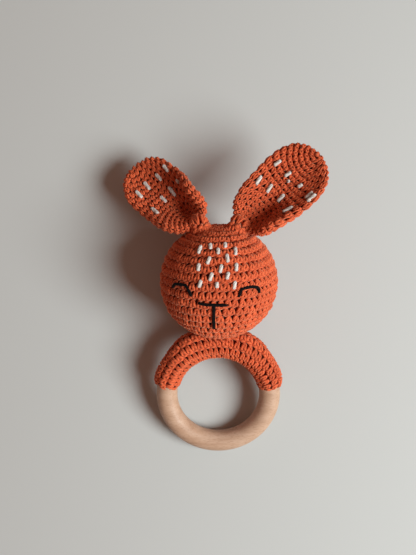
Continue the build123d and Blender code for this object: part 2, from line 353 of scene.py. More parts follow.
def work_fabric(stitch, places, seed):
    """Crocheted fabric: the stitch laid at every place. A place is a function from the stitch's
    own (across, up, depth) to a point. Each stitch is a little uneven in size and tone."""
    chance = random.Random(seed)
    fabric = bmesh.new()
    for _ in places:
        fabric.from_mesh(stitch)
    fabric.verts.ensure_lookup_table()
    tone = fabric.verts.layers.float["tone"]
    count = len(stitch.vertices)
    for number, place in enumerate(places):
        shift, rise, depth, lean, swell = (chance.gauss(0, UNEVENNESS) for _ in range(5))
        shade = chance.uniform(0, 1)
        for vert in fabric.verts[number * count:(number + 1) * count]:
            x, y, z = vert.co
            vert.co = place(
                x * (1 + swell) + shift * UNEVEN_SHIFT + lean * y, y + rise * UNEVEN_SHIFT,
                z + depth * UNEVEN_DEPTH,
            )
            vert[tone] = shade
    return fabric


FIBRE_SCALE = 2600.0
CLOUD_SCALE = 130.0
HOLE_SHADE_PATCH_SCALE = 900.0
HOLE_SHADE_PATCH_DARKENING = 0.6


def make_yarn_group():
    """Cotton yarn: plies twisted round each other, loose fibres over them, and a tone of its own
    for each stitch. The grooves between the plies get a darker colour of painted shade. Puts out
    the colour and the surface normal."""
    group = bpy.data.node_groups.new("yarn_plies", "ShaderNodeTree")
    sockets = (
        ("Colour", "INPUT", "NodeSocketColor"), ("Painted Groove Shade", "INPUT", "NodeSocketColor"),
        ("Plies", "INPUT", "NodeSocketFloat"), ("Twist", "INPUT", "NodeSocketFloat"),
        ("Depth", "INPUT", "NodeSocketFloat"),
        ("Colour", "OUTPUT", "NodeSocketColor"), ("Normal", "OUTPUT", "NodeSocketVector"),
    )
    for name, side, kind in sockets:
        group.interface.new_socket(name, in_out=side, socket_type=kind)
    given = group.nodes.new("NodeGroupInput").outputs
    result = group.nodes.new("NodeGroupOutput").inputs
    strand = add_node(group, "ShaderNodeUVMap", uv_map="UVMap").outputs["UV"]
    split = add_node(group, "ShaderNodeSeparateXYZ", {"Vector": strand}).outputs
    along = calculate(group, "MULTIPLY", split["X"], given["Twist"])
    around = calculate(group, "MULTIPLY", split["Y"], given["Plies"])
    turn = calculate(group, "MULTIPLY", calculate(group, "ADD", along, around), math.pi)
    ply = calculate(group, "ABSOLUTE", calculate(group, "SINE", turn))
    place = own_place(group)
    fibres = noise(group, place, FIBRE_SCALE, roughness=0.7)
    cloudy = noise(group, place, CLOUD_SCALE)
    tone = add_node(group, "ShaderNodeAttribute", attribute_name="tone").outputs["Fac"]
    # Painted shade: the yarn takes its darker groove colour where the twist pattern dips between plies
    painted_groove_shade = colour_ramp(group, ply, (0.0, (0, 0, 0)), (0.55, (1, 1, 1)))
    colour = mix_colours(group, painted_groove_shade, given["Painted Groove Shade"], given["Colour"])
    stitch_tone = colour_ramp(group, tone, (0.0, (0.86, 0.82, 0.80)), (1.0, (1.06, 1.10, 1.14)))
    cloud_tone = colour_ramp(group, cloudy, (0.3, (0.92, 0.90, 0.88)), (0.7, (1.04, 1.06, 1.08)))
    fibre_tone = colour_ramp(group, fibres, (0.3, (0.86, 0.86, 0.86)), (0.7, (1.1, 1.1, 1.1)))
    for tint in (stitch_tone, cloud_tone, fibre_tone):
        colour = mix_colours(group, 1.0, colour, tint, "MULTIPLY")
    plug(group, result["Colour"], colour)
    height = calculate(group, "MULTIPLY_ADD", fibres, 0.3, ply)
    add_relief(group, result["Normal"], height, 0.8, given["Depth"])
    return group


yarn_plies = make_yarn_group()

ORANGE = (0.72, 0.122, 0.039)
# The darker groove colour is painted shade between the plies, not a colour of the yarn
ORANGE_PAINTED_GROOVE_SHADE = (0.27, 0.018, 0.005)
# Painted shade: the dark at the bottom of the holes between stitches, laid on a sheet under them
ORANGE_PAINTED_HOLE_SHADE = (0.16, 0.014, 0.005)
ORANGE_SHEEN = (1.0, 0.55, 0.35)


def make_yarn(
    name, colour, painted_groove_shade, sheen_tint, twist=0.9, depth=0.00012, roughness=0.85, sheen=0.45,
    specular=0.25,
):
    """Three-ply cotton yarn, matt and a little downy, with painted shade between its plies."""
    material, tree, shader = new_material(name)
    yarn = add_node(tree, "ShaderNodeGroup", node_tree=yarn_plies)
    for socket, value in (("Colour", (*colour, 1)), ("Painted Groove Shade", (*painted_groove_shade, 1)),
                          ("Plies", 3), ("Twist", twist), ("Depth", depth)):
        yarn.inputs[socket].default_value = value
    plug(tree, shader.inputs["Base Color"], yarn.outputs["Colour"])
    plug(tree, shader.inputs["Normal"], yarn.outputs["Normal"])
    for socket, value in (("Roughness", roughness), ("Sheen Weight", sheen), ("Sheen Roughness", 0.5),
                          ("Sheen Tint", (*sheen_tint, 1)), ("Specular IOR Level", specular)):
        shader.inputs[socket].default_value = value
    return material


def make_painted_hole_shade(name, colour):
    """A dark sheet under the stitches: painted shade at the bottom of the holes between them."""
    material, tree, shader = new_material(name)
    place = own_place(tree)
    patches = noise(tree, place, HOLE_SHADE_PATCH_SCALE)
    darker = [channel * HOLE_SHADE_PATCH_DARKENING for channel in colour]
    shade = colour_ramp(tree, patches, (0.3, darker), (0.7, colour))
    plug(tree, shader.inputs["Base Color"], shade)
    shader.inputs["Roughness"].default_value = 0.95
    return material


orange_yarn = make_yarn("orange_yarn", ORANGE, ORANGE_PAINTED_GROOVE_SHADE, ORANGE_SHEEN)
orange_painted_hole_shade = make_painted_hole_shade("orange_painted_hole_shade", ORANGE_PAINTED_HOLE_SHADE)

# The sleeve is stretched along the bar's girth, so its stitches have long stems and open holes.
# Depths are measured from the fabric's outer face.
stretched_stitch = make_stitch(
    "stretched_stitch",
    leg=[(0.05, -0.14, -0.0020), (0.10, 0.10, -0.0009), (0.17, 0.32, -0.0003),
         (0.30, 0.56, -0.0002), (0.44, 0.84, -0.0014)],
    loop=[(-0.54, 0.64, -0.0012), (-0.20, 0.70, -0.0003), (0.20, 0.78, -0.0003), (0.54, 0.84, -0.0012)],
    yarn=SLEEVE_YARN_RADIUS,
)


def sleeve_point(along, around, lift):
    """A point on the sleeve: metres along its length from the middle, turn round the bar from
    the back seam, and lift off its outer face. Past the ends of its arc it draws in like a dome."""
    past = max(abs(along) - SLEEVE_STRAIGHT, 0.0) / SLEEVE_RADIUS
    off_shoulder = (abs(along) / SLEEVE_STRAIGHT - SHOULDER_PLACE) / SHOULDER_SPREAD
    lift += SHOULDER_HEIGHT * math.exp(-(off_shoulder**2)) * max(math.sin(around), 0) ** 1.5
    lift -= SLEEVE_INNER_PULL * max(-math.sin(around), 0)
    lift = max(lift, SLEEVE_BORE - SLEEVE_RADIUS)
    reach = math.copysign(min(abs(along), SLEEVE_STRAIGHT) + SLEEVE_RADIUS * math.sin(past), along)
    radius = (SLEEVE_RADIUS + lift) * math.cos(past)
    reach += math.copysign(lift * math.sin(past), along) if past else 0
    place = reach / RING_RADIUS
    hub = RING_RADIUS + radius * math.sin(around)
    return toy @ Vector((hub * math.sin(place), hub * math.cos(place), -radius * math.cos(around)))


def sleeve_places():
    """Rows along the bar, set one after the other round it from the back seam."""
    places = []
    width = SLEEVE_LENGTH / SLEEVE_COLUMNS
    rows = math.tau / SLEEVE_ROWS
    for row in range(SLEEVE_ROWS):
        for column in range(SLEEVE_COLUMNS):
            start = (column + 0.5 + STAGGER * (row % 2)) * width - SLEEVE_LENGTH / 2

            def place(across, up, depth, start=start, row=row):
                along = max(min(start + across * width, SLEEVE_LENGTH / 2), -SLEEVE_LENGTH / 2)
                return sleeve_point(along, SLEEVE_FIRST_ROW + (row + up) * rows, depth)

            places.append(place)
    return places


finish_piece(
    "sleeve_crochet", work_fabric(stretched_stitch, sleeve_places(), seed=11), orange_yarn,
    "sleeve", ["ring_sleeve"],
)


def bend_tube(sides, rings, point):
    """A closed tube with every vertex laid by point(share of its length, turn round it)."""
    tube = straight_tube(sides, rings)
    for vert in tube.verts:
        vert.co = point(vert.co.z, math.atan2(vert.co.y, vert.co.x) % math.tau)
    bmesh.ops.recalc_face_normals(tube, faces=tube.faces)
    return tube


SKIN_DEPTH = -0.0017


def sleeve_skin_point(share, turn):
    """A point on the sleeve's sheet of painted shade, which lies just under its stitches."""
    return sleeve_point((share - 0.5) * SLEEVE_LENGTH, turn, SKIN_DEPTH)


# A dark sheet under the sleeve's stitches paints the shade at the bottom of their holes
sleeve_skin = bend_tube(40, 60, sleeve_skin_point)
finish_piece("sleeve_shade_sheet", sleeve_skin, orange_painted_hole_shade, "sleeve")


# ---------------------------------------------------------------------------
# Head: a ball of single crochet in the same cotton, worked in a spiral from the crown down to
# the neck and stuffed firmly. It sits on the sleeve like a saddle and is flat where it lies.
# ---------------------------------------------------------------------------
HEAD_ROUND = 0.0283
HEAD_FLATTENING = 0.001
HEAD_SIDE = math.pi * HEAD_ROUND + 2 * HEAD_FLATTENING
HEAD_ROWS = 21
HEAD_FEWEST_STITCHES = 6
HEAD_MOST_STITCHES = 54
SEAT_RADIUS = 0.0079
# The share of its thickness that the fabric keeps where it lies on the table
TABLE_PRESS = 0.6
YARN_RADIUS = 0.00086

head_centre = Vector(joints["bead_1_roll"]["pos_m"])
head_in_toy = toy.inverted() @ head_centre

crochet_stitch = make_stitch(
    "crochet_stitch",
    leg=[(0.02, -0.16, -0.0021), (0.09, 0.12, -0.0009), (0.23, 0.38, -0.0002),
         (0.36, 0.62, -0.0003), (0.46, 0.86, -0.0017)],
    loop=[(-0.54, 0.62, -0.0013), (-0.20, 0.70, -0.0005), (0.20, 0.82, -0.0005), (0.54, 0.90, -0.0014)],
    yarn=YARN_RADIUS,
)


def settle(point, lift):
    """The head gives where it lies: round the sleeve at the neck, and on the table behind."""
    x, y, z = point
    off_bar = Vector((math.hypot(x, y) - RING_RADIUS, z))
    least = SEAT_RADIUS - lift
    if off_bar.length < least and y > 0:
        off_bar = off_bar.normalized() * least
        spread = (RING_RADIUS + off_bar.x) / max(math.hypot(x, y), 1e-6)
        x, y, z = x * spread, y * spread, off_bar.y
    placed = toy @ Vector((x, y, z))
    placed.z = max(placed.z, -lift * TABLE_PRESS, 0)
    return placed


def head_point(down, turn, lift):
    """A point on the head: metres from the crown along its side, turn round it from the back
    of the neck, and lift off its outer face."""
    angle = min(max((down - HEAD_FLATTENING) / HEAD_ROUND, 0.0), math.pi)
    radius = HEAD_ROUND + lift
    off_axis = min(down, HEAD_FLATTENING, max(HEAD_SIDE - down, 0)) + radius * math.sin(angle)
    out = Vector((-off_axis * math.sin(turn), radius * math.cos(angle), -off_axis * math.cos(turn)))
    return settle(head_in_toy + out, lift)


def wrap_head(point, lift):
    """A point of a ball laid on the head in its own direction, with this lift off its outer face."""
    down = math.acos(max(min(point.z / point.length, 1), -1)) * HEAD_ROUND + HEAD_FLATTENING
    return head_point(down, math.atan2(point.y, point.x), lift)


def head_places():
    """One spiral without a join. Each round holds half a stitch over, so the rounds are staggered."""
    places = []
    row_height = HEAD_SIDE / HEAD_ROWS
    wound = 0.0
    while wound < HEAD_ROWS:
        middle = (min(wound, HEAD_ROWS - 1) + 0.5) * row_height / HEAD_ROUND
        fitting = math.tau * (HEAD_ROUND * math.sin(middle) + HEAD_FLATTENING) / STITCH_WIDTH
        stitches = min(max(round(fitting), HEAD_FEWEST_STITCHES), HEAD_MOST_STITCHES) + STAGGER

        def place(across, up, depth, wound=wound, stitches=stitches):
            turn = wound + across / stitches
            return head_point((turn + up - 0.5) * row_height, -turn * math.tau, depth)

        places.append(place)
        wound += 1 / stitches
    return places


head = finish_piece(
    "head_crochet", work_fabric(crochet_stitch, head_places(), seed=23), orange_yarn,
    "head", ["head_cover"],
)

# A dark sheet under the head's stitches paints the shade at the bottom of their holes
head_skin = bmesh.new()
bmesh.ops.create_icosphere(head_skin, subdivisions=5, radius=1)
for vert in head_skin.verts:
    vert.co = wrap_head(vert.co, SKIN_DEPTH)
bmesh.ops.recalc_face_normals(head_skin, faces=head_skin.faces)
finish_piece("head_shade_sheet", head_skin, orange_painted_hole_shade, "head")


# ---------------------------------------------------------------------------
# Stuffing: two wads of white polyester fibre, one in the crown and one towards the neck,
# pressed round the capsule by hand, so their surfaces are lumpy.
# ---------------------------------------------------------------------------
HEAD_WALL = 0.0026
CAPSULE_RADIUS = 0.014
WAD_RADIUS = HEAD_ROUND - HEAD_WALL - 0.0004
WAD_THICKNESS = WAD_RADIUS - CAPSULE_RADIUS - 0.0006
WAD_PARTING = 0.015
OUTER_LUMPS = 0.0007
INNER_LUMPS = 0.0004
TUFT_WAVES = Vector((900, 700, 800))
TUFT_SCALE = 120.0
HAIR_SCALE = 700.0
HAIR_DEPTH = 0.0008
FIBRE_SHADES = ((0.70, 0.70, 0.68), (0.86, 0.86, 0.84))


def make_fibre():
    """Loose polyester fibre: white, matt and crossed by fine hairs."""
    material, tree, shader = new_material("fibre_filling")
    place = own_place(tree)
    hairs = noise(tree, place, HAIR_SCALE, detail=6.0, roughness=0.75, distortion=2.5)
    tufts = noise(tree, place, TUFT_SCALE, detail=3.0)
    shade = colour_ramp(tree, tufts, (0.3, FIBRE_SHADES[0]), (0.7, FIBRE_SHADES[1]))
    plug(tree, shader.inputs["Base Color"], shade)
    shader.inputs["Roughness"].default_value = 1.0
    shader.inputs["Sheen Weight"].default_value = 0.5
    add_relief(tree, shader.inputs["Normal"], hairs, 0.9, HAIR_DEPTH)
    return material


def pack_wad(name, side, replaced, fibre):
    """Half a shell of fibre: outside the capsule and inside the cover, on one side of the middle."""
    wad = bmesh.new()
    bmesh.ops.create_icosphere(wad, subdivisions=5, radius=1)
    bmesh.ops.bisect_plane(
        wad, geom=wad.verts[:] + wad.edges[:] + wad.faces[:],
        plane_co=(0, 0, WAD_PARTING * side), plane_no=(0, 0, side), clear_inner=True,
    )
    for vert in wad.verts:
        vert.co *= WAD_RADIUS
    bmesh.ops.solidify(wad, geom=wad.faces[:], thickness=WAD_THICKNESS)
    for vert in wad.verts:
        x, y, z = vert.co * TUFT_WAVES
        tuft = 0.5 - 0.5 * math.sin(x + 2 * math.sin(y)) * math.sin(z)
        size = vert.co.length
        lump = OUTER_LUMPS * tuft if size > WAD_RADIUS - WAD_THICKNESS / 2 else -INNER_LUMPS * tuft
        vert.co = wrap_head(vert.co, size - lump - HEAD_ROUND)
    bmesh.ops.recalc_face_normals(wad, faces=wad.faces)
    piece = finish_piece(name, wad, fibre, "head", replaced)


fibre_filling = make_fibre()
pack_wad("crown_wad", 1, ["crown_stuffing"], fibre_filling)
pack_wad("neck_wad", -1, ["neck_stuffing"], fibre_filling)


# ---------------------------------------------------------------------------
# Capsule: two moulded halves in natural polypropylene that snap together round five steel
# beads. It is buried in the stuffing and is what rattles.
# ---------------------------------------------------------------------------
BEADS = 5
MILKY_SHADES = ((0.70, 0.71, 0.70), (0.78, 0.79, 0.78))
MILK_SCALE = 90.0
MILK_REACH = 0.004
PEEL_SCALE = 900.0
PEEL_DEPTH = 0.0001
STEEL_SHADES = ((0.52, 0.53, 0.54), (0.66, 0.67, 0.68))
RUBBING_SCALE = 1500.0


def make_capsule_plastic():
    """Natural polypropylene: milky, a little translucent, with the faint orange peel of its mould."""
    material, tree, shader = new_material("capsule_plastic")
    place = own_place(tree)
    peel = noise(tree, place, PEEL_SCALE, detail=1.0)
    cloud = noise(tree, place, MILK_SCALE)
    milk = colour_ramp(tree, cloud, (0.3, MILKY_SHADES[0]), (0.7, MILKY_SHADES[1]))
    plug(tree, shader.inputs["Base Color"], milk)
    plug(tree, shader.inputs["Roughness"], remap(tree, peel, to_low=0.32, to_high=0.45))
    shader.inputs["Subsurface Weight"].default_value = 0.3
    shader.inputs["Subsurface Radius"].default_value = (MILK_REACH, MILK_REACH, MILK_REACH)
    add_relief(tree, shader.inputs["Normal"], peel, 0.15, PEEL_DEPTH)
    return material


def make_bead_steel():
    """Bearing-steel beads, bright under a haze of fine rubbing marks."""
    material, tree, shader = new_material("bead_steel")
    place = own_place(tree)
    rubbed = noise(tree, place, RUBBING_SCALE, detail=4.0, roughness=0.7, distortion=1.0)
    steel = colour_ramp(tree, rubbed, (0.35, STEEL_SHADES[0]), (0.65, STEEL_SHADES[1]))
    plug(tree, shader.inputs["Base Color"], steel)
    shader.inputs["Metallic"].default_value = 1.0
    plug(tree, shader.inputs["Roughness"], remap(tree, rubbed, to_low=0.12, to_high=0.34))
    return material


capsule_plastic = make_capsule_plastic()
for half in ("capsule_front", "capsule_back"):
    set_finish(half, capsule_plastic)
bead_steel = make_bead_steel()
for number in range(1, BEADS + 1):
    set_finish(f"bead_{number}", bead_steel)


# ---------------------------------------------------------------------------
# Face: embroidered through the cover before it was stuffed. Fifteen white speckles on the
# forehead, two closed eyes, a nose bar and a mouth line, in plied cotton.
# ---------------------------------------------------------------------------
MM = 0.001
WHITE = (0.80, 0.78, 0.74)
# The two darker groove colours for the white and the black yarn are painted shade between the plies
WHITE_PAINTED_GROOVE_SHADE = (0.42, 0.40, 0.38)
BLACK = (0.004, 0.002, 0.002)
BLACK_PAINTED_GROOVE_SHADE = (0.002, 0.002, 0.002)
BLACK_SHEEN = 0.01
THREAD_SINK = 0.0012
THREAD_HEIGHT = 0.0004
THREAD_SIDES = 8
FACE_THREAD_RADIUS = 0.0008
SPECKLE_RADIUS = 0.00094
SPECKLE_WIDTH = 1.9


def face_point(x, y, lift):
    """A point on the face: millimetres across and up from its middle, and lift off the cover."""
    across, up = x * MM, y * MM
    reach = HEAD_FLATTENING + math.sqrt((HEAD_ROUND + lift) ** 2 - up**2)
    return toy @ (head_in_toy + Vector((across, up, math.sqrt(reach**2 - across**2))))


def sew_thread(mesh, route, surface, radius, cuts, taper, squash):
    """A thread laid along a route on a surface: it comes up through the fabric at one end and
    goes back down at the other."""
    points = [surface(*route[0], -THREAD_SINK)]
    points += [surface(*place, THREAD_HEIGHT) for place in route]
    points.append(surface(*route[-1], -THREAD_SINK))
    middle = route[len(route) // 2]
    up = (surface(*middle, MM) - surface(*middle, 0)).normalized()
    add_strand(mesh, points, radius, THREAD_SIDES, cuts, taper, squash, up)


def sew_speckles(name, speckles, surface, body, replaced):
    """One short flat stitch of white yarn for each (x, y, lean in degrees, length) in millimetres."""
    threads = new_threadwork()
    for x, y, lean, length in speckles:
        reach = (length - SPECKLE_WIDTH) / 2
        lean = math.radians(lean)
        route = [
            (x - step * reach * math.sin(lean), y + step * reach * math.cos(lean))
            for step in (-1.1, -0.4, 0.4, 1.1)
        ]
        sew_thread(threads, route, surface, SPECKLE_RADIUS, cuts=12, taper=0.75, squash=0.65)
    finish_piece(name, threads, white_yarn, body, replaced)


white_yarn = make_yarn(
    "white_yarn", WHITE, WHITE_PAINTED_GROOVE_SHADE, sheen_tint=UNTINTED, twist=0.5, depth=0.0001, roughness=0.7,
)
black_yarn = make_yarn(
    "black_yarn", BLACK, BLACK_PAINTED_GROOVE_SHADE, sheen_tint=UNTINTED, twist=0.8, sheen=BLACK_SHEEN, specular=0.1,
)

forehead_speckles = [
    (-9.4, 20.6, -22, 4.6), (-4.3, 22.2, 0, 3.4), (2.7, 22.7, 6, 3.2), (-0.7, 20.4, 0, 3.6),
    (7.5, 20.1, 2, 4.2), (-5.2, 16.5, -25, 4.4), (3.6, 17.5, 8, 4.5), (-9.9, 13.4, -7, 4.3),
    (0.5, 13.2, -14, 4.6), (7.8, 13.6, -2, 4.5), (-4.1, 9.6, -20, 4.8), (3.7, 10.1, -14, 4.3),
    (-9.2, 6.2, -17, 4.7), (-1.3, 6.0, 0, 3.8), (6.9, 5.7, -10, 4.7),
]
sew_speckles("forehead_speckles", forehead_speckles, face_point, "head", ["forehead_stitches"])

face_routes = {
    "left_eye": [
        (-22.2, 2.4), (-21.4, 3.9), (-19.9, 4.4), (-17.9, 4.6), (-16.1, 4.6), (-15.1, 3.6),
        (-14.3, 2.0), (-13.4, 0.1),
    ],
    "right_eye": [
        (9.1, 0.3), (9.6, 2.3), (10.5, 3.7), (12.6, 4.0), (14.8, 4.1), (17.2, 3.6), (18.5, 2.7),
        (19.0, 0.8),
    ],
    "nose": [(-9.4, -3.3), (-6.4, -3.6), (-3.0, -3.7), (0.4, -3.7), (3.3, -3.6)],
    "mouth": [(-2.6, -4.6), (-2.75, -8.0), (-2.7, -12.0), (-2.6, -16.6)],
}
for name, route in face_routes.items():
    thread = new_threadwork()
    sew_thread(thread, route, face_point, FACE_THREAD_RADIUS, cuts=24, taper=0.3, squash=0.85)
    finish_piece(f"{name}_embroidery", thread, black_yarn, "head", [f"{name}_thread"])


# ---------------------------------------------------------------------------
# Ears: flattened tubes of the same single crochet, worked in rounds from the tip down, folded
# into a cup at the root. The right one stands up and the left one has flopped.
# ---------------------------------------------------------------------------
EAR_LENGTH = 0.0508
EAR_THICKNESS = 0.0046
EAR_PLUMPNESS = 0.85
EAR_OVERLAP = 0.0007
EAR_BEND_RADIUS = 0.07
EAR_FLATTER_SIDE = 0.45
EAR_FOLD_START = 0.003
EAR_FOLD_RADIUS = 0.0055
EAR_FOLD_MIDDLE = 0.009
EAR_FOLD_REACH = 0.014
EAR_WEAKER_FOLD = 0.4
EAR_ROWS = 19
EAR_SHORTEST_ROW = 0.012
# Rows are arcs struck from the tip, which change over to arcs struck from the root
EAR_TIP_SHARE = 0.25
EAR_CHANGE_SHARE = 0.5
EAR_FEWEST_STITCHES = 6
EAR_MOST_STITCHES = 26
EAR_STITCH_WIDTH = 0.0027
EAR_RELIEF = 0.85
EAR_SHADE_SHEET_START = 0.01
# The root's line starts at two points of the ear and goes on to these depths in the head
EAR_ROOT_LINE = [Vector((0, 0.004, -0.0025)), Vector((0, 0.001, -0.002))]
EAR_ROOT_DEPTHS = (0.0015, 0.005)
EAR_ROOT_ROWS = 3
EAR_ROOT_STITCHES = 8
EAR_ROOT_RADIUS = 0.0042
EAR_ROOT_FLARE = 0.0008
EAR_BEND_DEPTH = 0.004
EAR_BEND_END = 0.009


def ear_section(half):
    """Half the thickness, half the flat and the half girth of a row of this half width."""
    thick = min(EAR_THICKNESS / 2, half * EAR_PLUMPNESS)
    flat = half - thick
    return thick, flat, 2 * flat + math.pi * thick


class Ear:
    """The shape of one ear. Its own axes start at its root: x across, y along, z out of its cup.

    spread, rise and roll are degrees: away from the toy's middle, up off the table, and about the
    ear's own line. cup is its radius across, width and base are the diameters of its tip and its
    lower end, fold is how far the rims turn up near the root, bow is how far it shifts sideways
    there, and hollow is the depth, middle and size of the pit above the root."""

    def __init__(self, joint, side, spread, rise, roll, cup, width, base, fold, bow, hollow):
        spread, rise, roll = (math.radians(angle) for angle in (spread, rise, roll))
        along = Vector((side * math.sin(spread), math.cos(spread), 0)) * math.cos(rise)
        along += Vector((0, 0, math.sin(rise)))
        face = (Vector((0, 0, 1)) - along * along.z).normalized()
        face = face * math.cos(roll) + along.cross(face) * math.sin(roll)
        self.root = Vector(joints[joint]["pos_m"])
        self.inward = (head_centre - self.root).normalized()
        self.frame = own_frame(self.root, along.cross(face), along, face)
        self.cup, self.tip_radius, self.fold, self.bow = cup, width / 2, fold, bow
        self.base_radius, self.base_centre = base / 2, base / 2 - EAR_OVERLAP
        self.hollow_depth, self.hollow_middle, self.hollow_size = hollow

    def outside(self, x, y):
        """How far a point lies outside the ear's outline: a small circle and a large one, joined."""
        gap = EAR_LENGTH - self.tip_radius - self.base_centre
        slope = (self.base_radius - self.tip_radius) / gap
        level = math.sqrt(1 - slope**2)
        x, y = abs(x), y - self.base_centre
        place = y * level - x * slope
        if place < 0:
            return math.hypot(x, y) - self.base_radius
        if place > level * gap:
            return math.hypot(x, y - gap) - self.tip_radius
        return x * level + y * slope - self.base_radius

    def swing(self, reach, end):
        """The angle either side of the ear's own line at which an arc of this reach, struck from
        the tip (end 1) or the root (end 0), meets the outline."""
        start = EAR_LENGTH if end else -EAR_OVERLAP
        # Closes in on the angle by halves
        low, high = 0.0, math.pi / 2
        for _ in range(24):
            angle = (low + high) / 2
            y = start + (-1 if end else 1) * reach * math.cos(angle)
            low, high = (low, angle) if self.outside(reach * math.sin(angle), y) > 0 else (angle, high)
        return low

    def row(self, share):
        """The half width of a row, the reach and swing of its arcs from the tip and from the root,
        and how far it has gone over from the first to the second. share runs from tip to root."""
        length = EAR_LENGTH + EAR_OVERLAP
        share = min(max(share, EAR_SHORTEST_ROW), 1 - EAR_SHORTEST_ROW)
        tip_reach, root_reach = share * length, (1 - share) * length
        tip_swing, root_swing = self.swing(tip_reach, 1), self.swing(root_reach, 0)
        blend = min(max((share - EAR_TIP_SHARE) / EAR_CHANGE_SHARE, 0), 1)
        blend = blend * blend * (3 - 2 * blend)
        half = (1 - blend) * tip_reach * tip_swing + blend * root_reach * root_swing
        return half, tip_reach, tip_swing, root_reach, root_swing, blend

    def sheet(self, x, y, height):
        """A flat point bent to the ear's cup, hollow, folded rims and bow."""
        middle = EAR_LENGTH / 2
        sag = middle**2 / (2 * EAR_BEND_RADIUS)
        off_middle = x if x > 0 else EAR_FLATTER_SIDE * x
        cupped = math.sqrt(max((self.cup - height) ** 2 - off_middle**2, 1e-8))
        hoop = EAR_BEND_RADIUS - self.cup + cupped
        z = EAR_BEND_RADIUS - sag - math.sqrt(hoop**2 - (y - middle) ** 2)
        off_hollow = [(a - b) / c for a, b, c in zip((x, y), self.hollow_middle, self.hollow_size)]
        z -= self.hollow_depth * math.exp(-(off_hollow[0] ** 2) - off_hollow[1] ** 2)
        # Near the root the rims turn up, the one on the +x side most, and the ear bows to one side
        near_root = math.exp(-(((y - EAR_FOLD_MIDDLE) / EAR_FOLD_REACH) ** 2))
        for side, amount in ((1, self.fold), (-1, EAR_WEAKER_FOLD * self.fold)):
            bend = near_root * amount * max(side * x - EAR_FOLD_START, 0) / EAR_FOLD_RADIUS
            if bend > 1e-6:
                reach = (side * x - EAR_FOLD_START) / bend
                x = side * (EAR_FOLD_START + (reach - height) * math.sin(bend))
                z += reach - height - (reach - height) * math.cos(bend)
        return Vector((x + self.bow * near_root, y, z))

    def point(self, share, turn, lift):
        """A point on the ear: share from tip to root, turn round it, lift off its outer face."""
        half, tip_reach, tip_swing, root_reach, root_swing, blend = self.row(share)
        thick, flat, half_girth = ear_section(half)
        # The face and the +x rim come first; the back and the other rim are the same, turned round
        halves, place = divmod(turn % 1.0 * 2 * half_girth, half_girth)
        side = 1 - 2 * (halves % 2)
        angle = math.pi / 2 - max(place - 2 * flat, 0) / thick
        along_flat = min(place, 2 * flat) - flat
        across = side * (along_flat + (thick + lift) * math.cos(angle)) / half
        height = side * (thick + lift) * math.sin(angle)
        x = (1 - blend) * tip_reach * math.sin(across * tip_swing)
        x += blend * root_reach * math.sin(across * root_swing)
        y = (1 - blend) * (EAR_LENGTH - tip_reach * math.cos(across * tip_swing))
        y += blend * (-EAR_OVERLAP + root_reach * math.cos(across * root_swing))
        return self.frame @ self.sheet(x, y, height)

    def face_point(self, x, y, lift):
        """A point on the hollow face, millimetres across and along."""
        return self.frame @ self.sheet(x * MM, y * MM, EAR_THICKNESS / 2 + lift)


def ear_places(ear):
    """Rounds from the tip to the root, each with as many stitches as its girth takes."""
    places = []
    for number in range(EAR_ROWS):
        half_girth = ear_section(ear.row((number + 0.5) / EAR_ROWS)[0])[2]
        fitting = 2 * round(half_girth / EAR_STITCH_WIDTH)
        stitches = min(max(fitting, EAR_FEWEST_STITCHES), EAR_MOST_STITCHES)
        for stitch in range(stitches):

            def place(across, up, depth, number=number, stitch=stitch, stitches=stitches):
                share = (number + 1 - up) / EAR_ROWS
                turn = (stitch + STAGGER * number + across) / stitches
                return ear.point(share, turn, depth * EAR_RELIEF)

            places.append(place)
    return places


def root_places(ear):
    """The pinched root: a short round neck that turns from the ear's line into the head."""
    line = [ear.frame @ point for point in EAR_ROOT_LINE]
    line += [ear.root + ear.inward * depth for depth in EAR_ROOT_DEPTHS]
    places = []
    for number in range(EAR_ROOT_ROWS):
        for stitch in range(EAR_ROOT_STITCHES):

            def place(across, up, depth, number=number, stitch=stitch):
                share = (number + 1 - up) / EAR_ROOT_ROWS
                along = heading(line, share)
                side = along.cross(ear.frame.to_3x3() @ Vector((0, 0, 1))).normalized()
                turn = (stitch + across) / EAR_ROOT_STITCHES * math.tau
                out = side * math.cos(turn) + side.cross(along) * math.sin(turn)
                return follow(line, share) + out * (EAR_ROOT_RADIUS + EAR_ROOT_FLARE * share + depth)

            places.append(place)
    return places


def make_ear(name, speckles, seed, **shape):
    """An ear with its speckles and a dark sheet of painted shade under its stitches. It bends
    from the head to its own body at the root.
    """
    ear = Ear(f"{name}_flop", **shape)
    crochet = finish_piece(
        f"{name}_crochet", work_fabric(crochet_stitch, ear_places(ear) + root_places(ear), seed),
        orange_yarn, None, [name],
    )

    def shade_sheet_point(share, turn):
        share = EAR_SHADE_SHEET_START + (1 - 2 * EAR_SHADE_SHEET_START) * share
        return ear.point(share, turn / math.tau, SKIN_DEPTH)

    # The sheet under the ear's stitches is painted shade for the bottom of their holes
    skin = bend_tube(36, 44, shade_sheet_point)
    shade_sheet = finish_piece(f"{name}_lining", skin, orange_painted_hole_shade)
    for layer in (crochet, shade_sheet):
        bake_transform(layer, "head", name, start=ear.root + ear.inward * EAR_BEND_DEPTH,
                 end=ear.frame @ Vector((0, EAR_BEND_END, 0)))
    sew_speckles(f"{name}_speckles", speckles, ear.face_point, name, [f"{name}_stitches"])
    return ear


